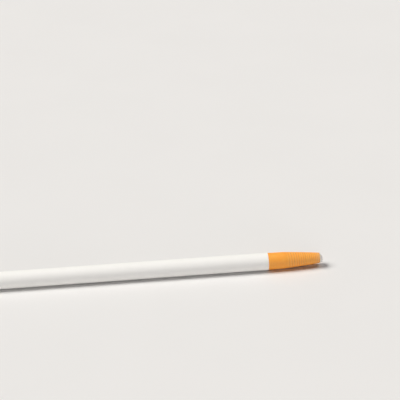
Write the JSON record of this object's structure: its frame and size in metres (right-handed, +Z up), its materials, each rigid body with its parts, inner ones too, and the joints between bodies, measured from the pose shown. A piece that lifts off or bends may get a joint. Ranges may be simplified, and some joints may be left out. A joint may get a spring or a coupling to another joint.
{
  "type": "china marker",
  "caption": "Peel-off china marker: white wax core in wound orange paper ribbons with a ground, ringed nose, a tear string and a white paper wrap.",
  "frame": {"origin": "on the surface that the marker lies on, below the middle of its length", "axes": "+X along the marker from tail to nose, +Z up from the surface it lies on, +Y to the side with the wrap's seam and the tear string"},
  "size_m": [0.1778, 0.0089, 0.0088],
  "materials": {
    "white_wax": "satin",
    "ribbon_paper": "matte",
    "cotton_thread": "matte",
    "wrap_paper": "satin"
  },
  "bodies": {
    "marker": {"wax_core": "white_wax", "peel_ribbon_02": "ribbon_paper", "peel_ribbon_03": "ribbon_paper", "peel_ribbon_04": "ribbon_paper", "peel_ribbon_05": "ribbon_paper", "peel_ribbon_06": "ribbon_paper", "peel_ribbon_07": "ribbon_paper", "peel_ribbon_08": "ribbon_paper", "peel_ribbon_09": "ribbon_paper", "peel_ribbon_10": "ribbon_paper", "peel_ribbon_11": "ribbon_paper", "peel_ribbon_12": "ribbon_paper", "peel_ribbon_13": "ribbon_paper", "peel_ribbon_14": "ribbon_paper", "peel_ribbon_15": "ribbon_paper", "peel_ribbon_16": "ribbon_paper", "peel_ribbon_17": "ribbon_paper", "peel_ribbon_18": "ribbon_paper", "peel_ribbon_19": "ribbon_paper", "tear_string": "cotton_thread", "outer_wrap": "wrap_paper"},
    "front_ribbon": {"peel_ribbon_01": "ribbon_paper"}
  },
  "joints": [
    {"name": "front_ribbon_peel", "type": "slide", "parent": "marker", "child": "front_ribbon", "axis": [1, 0, 0], "range_m": [0, 0.0115]}
  ]
}
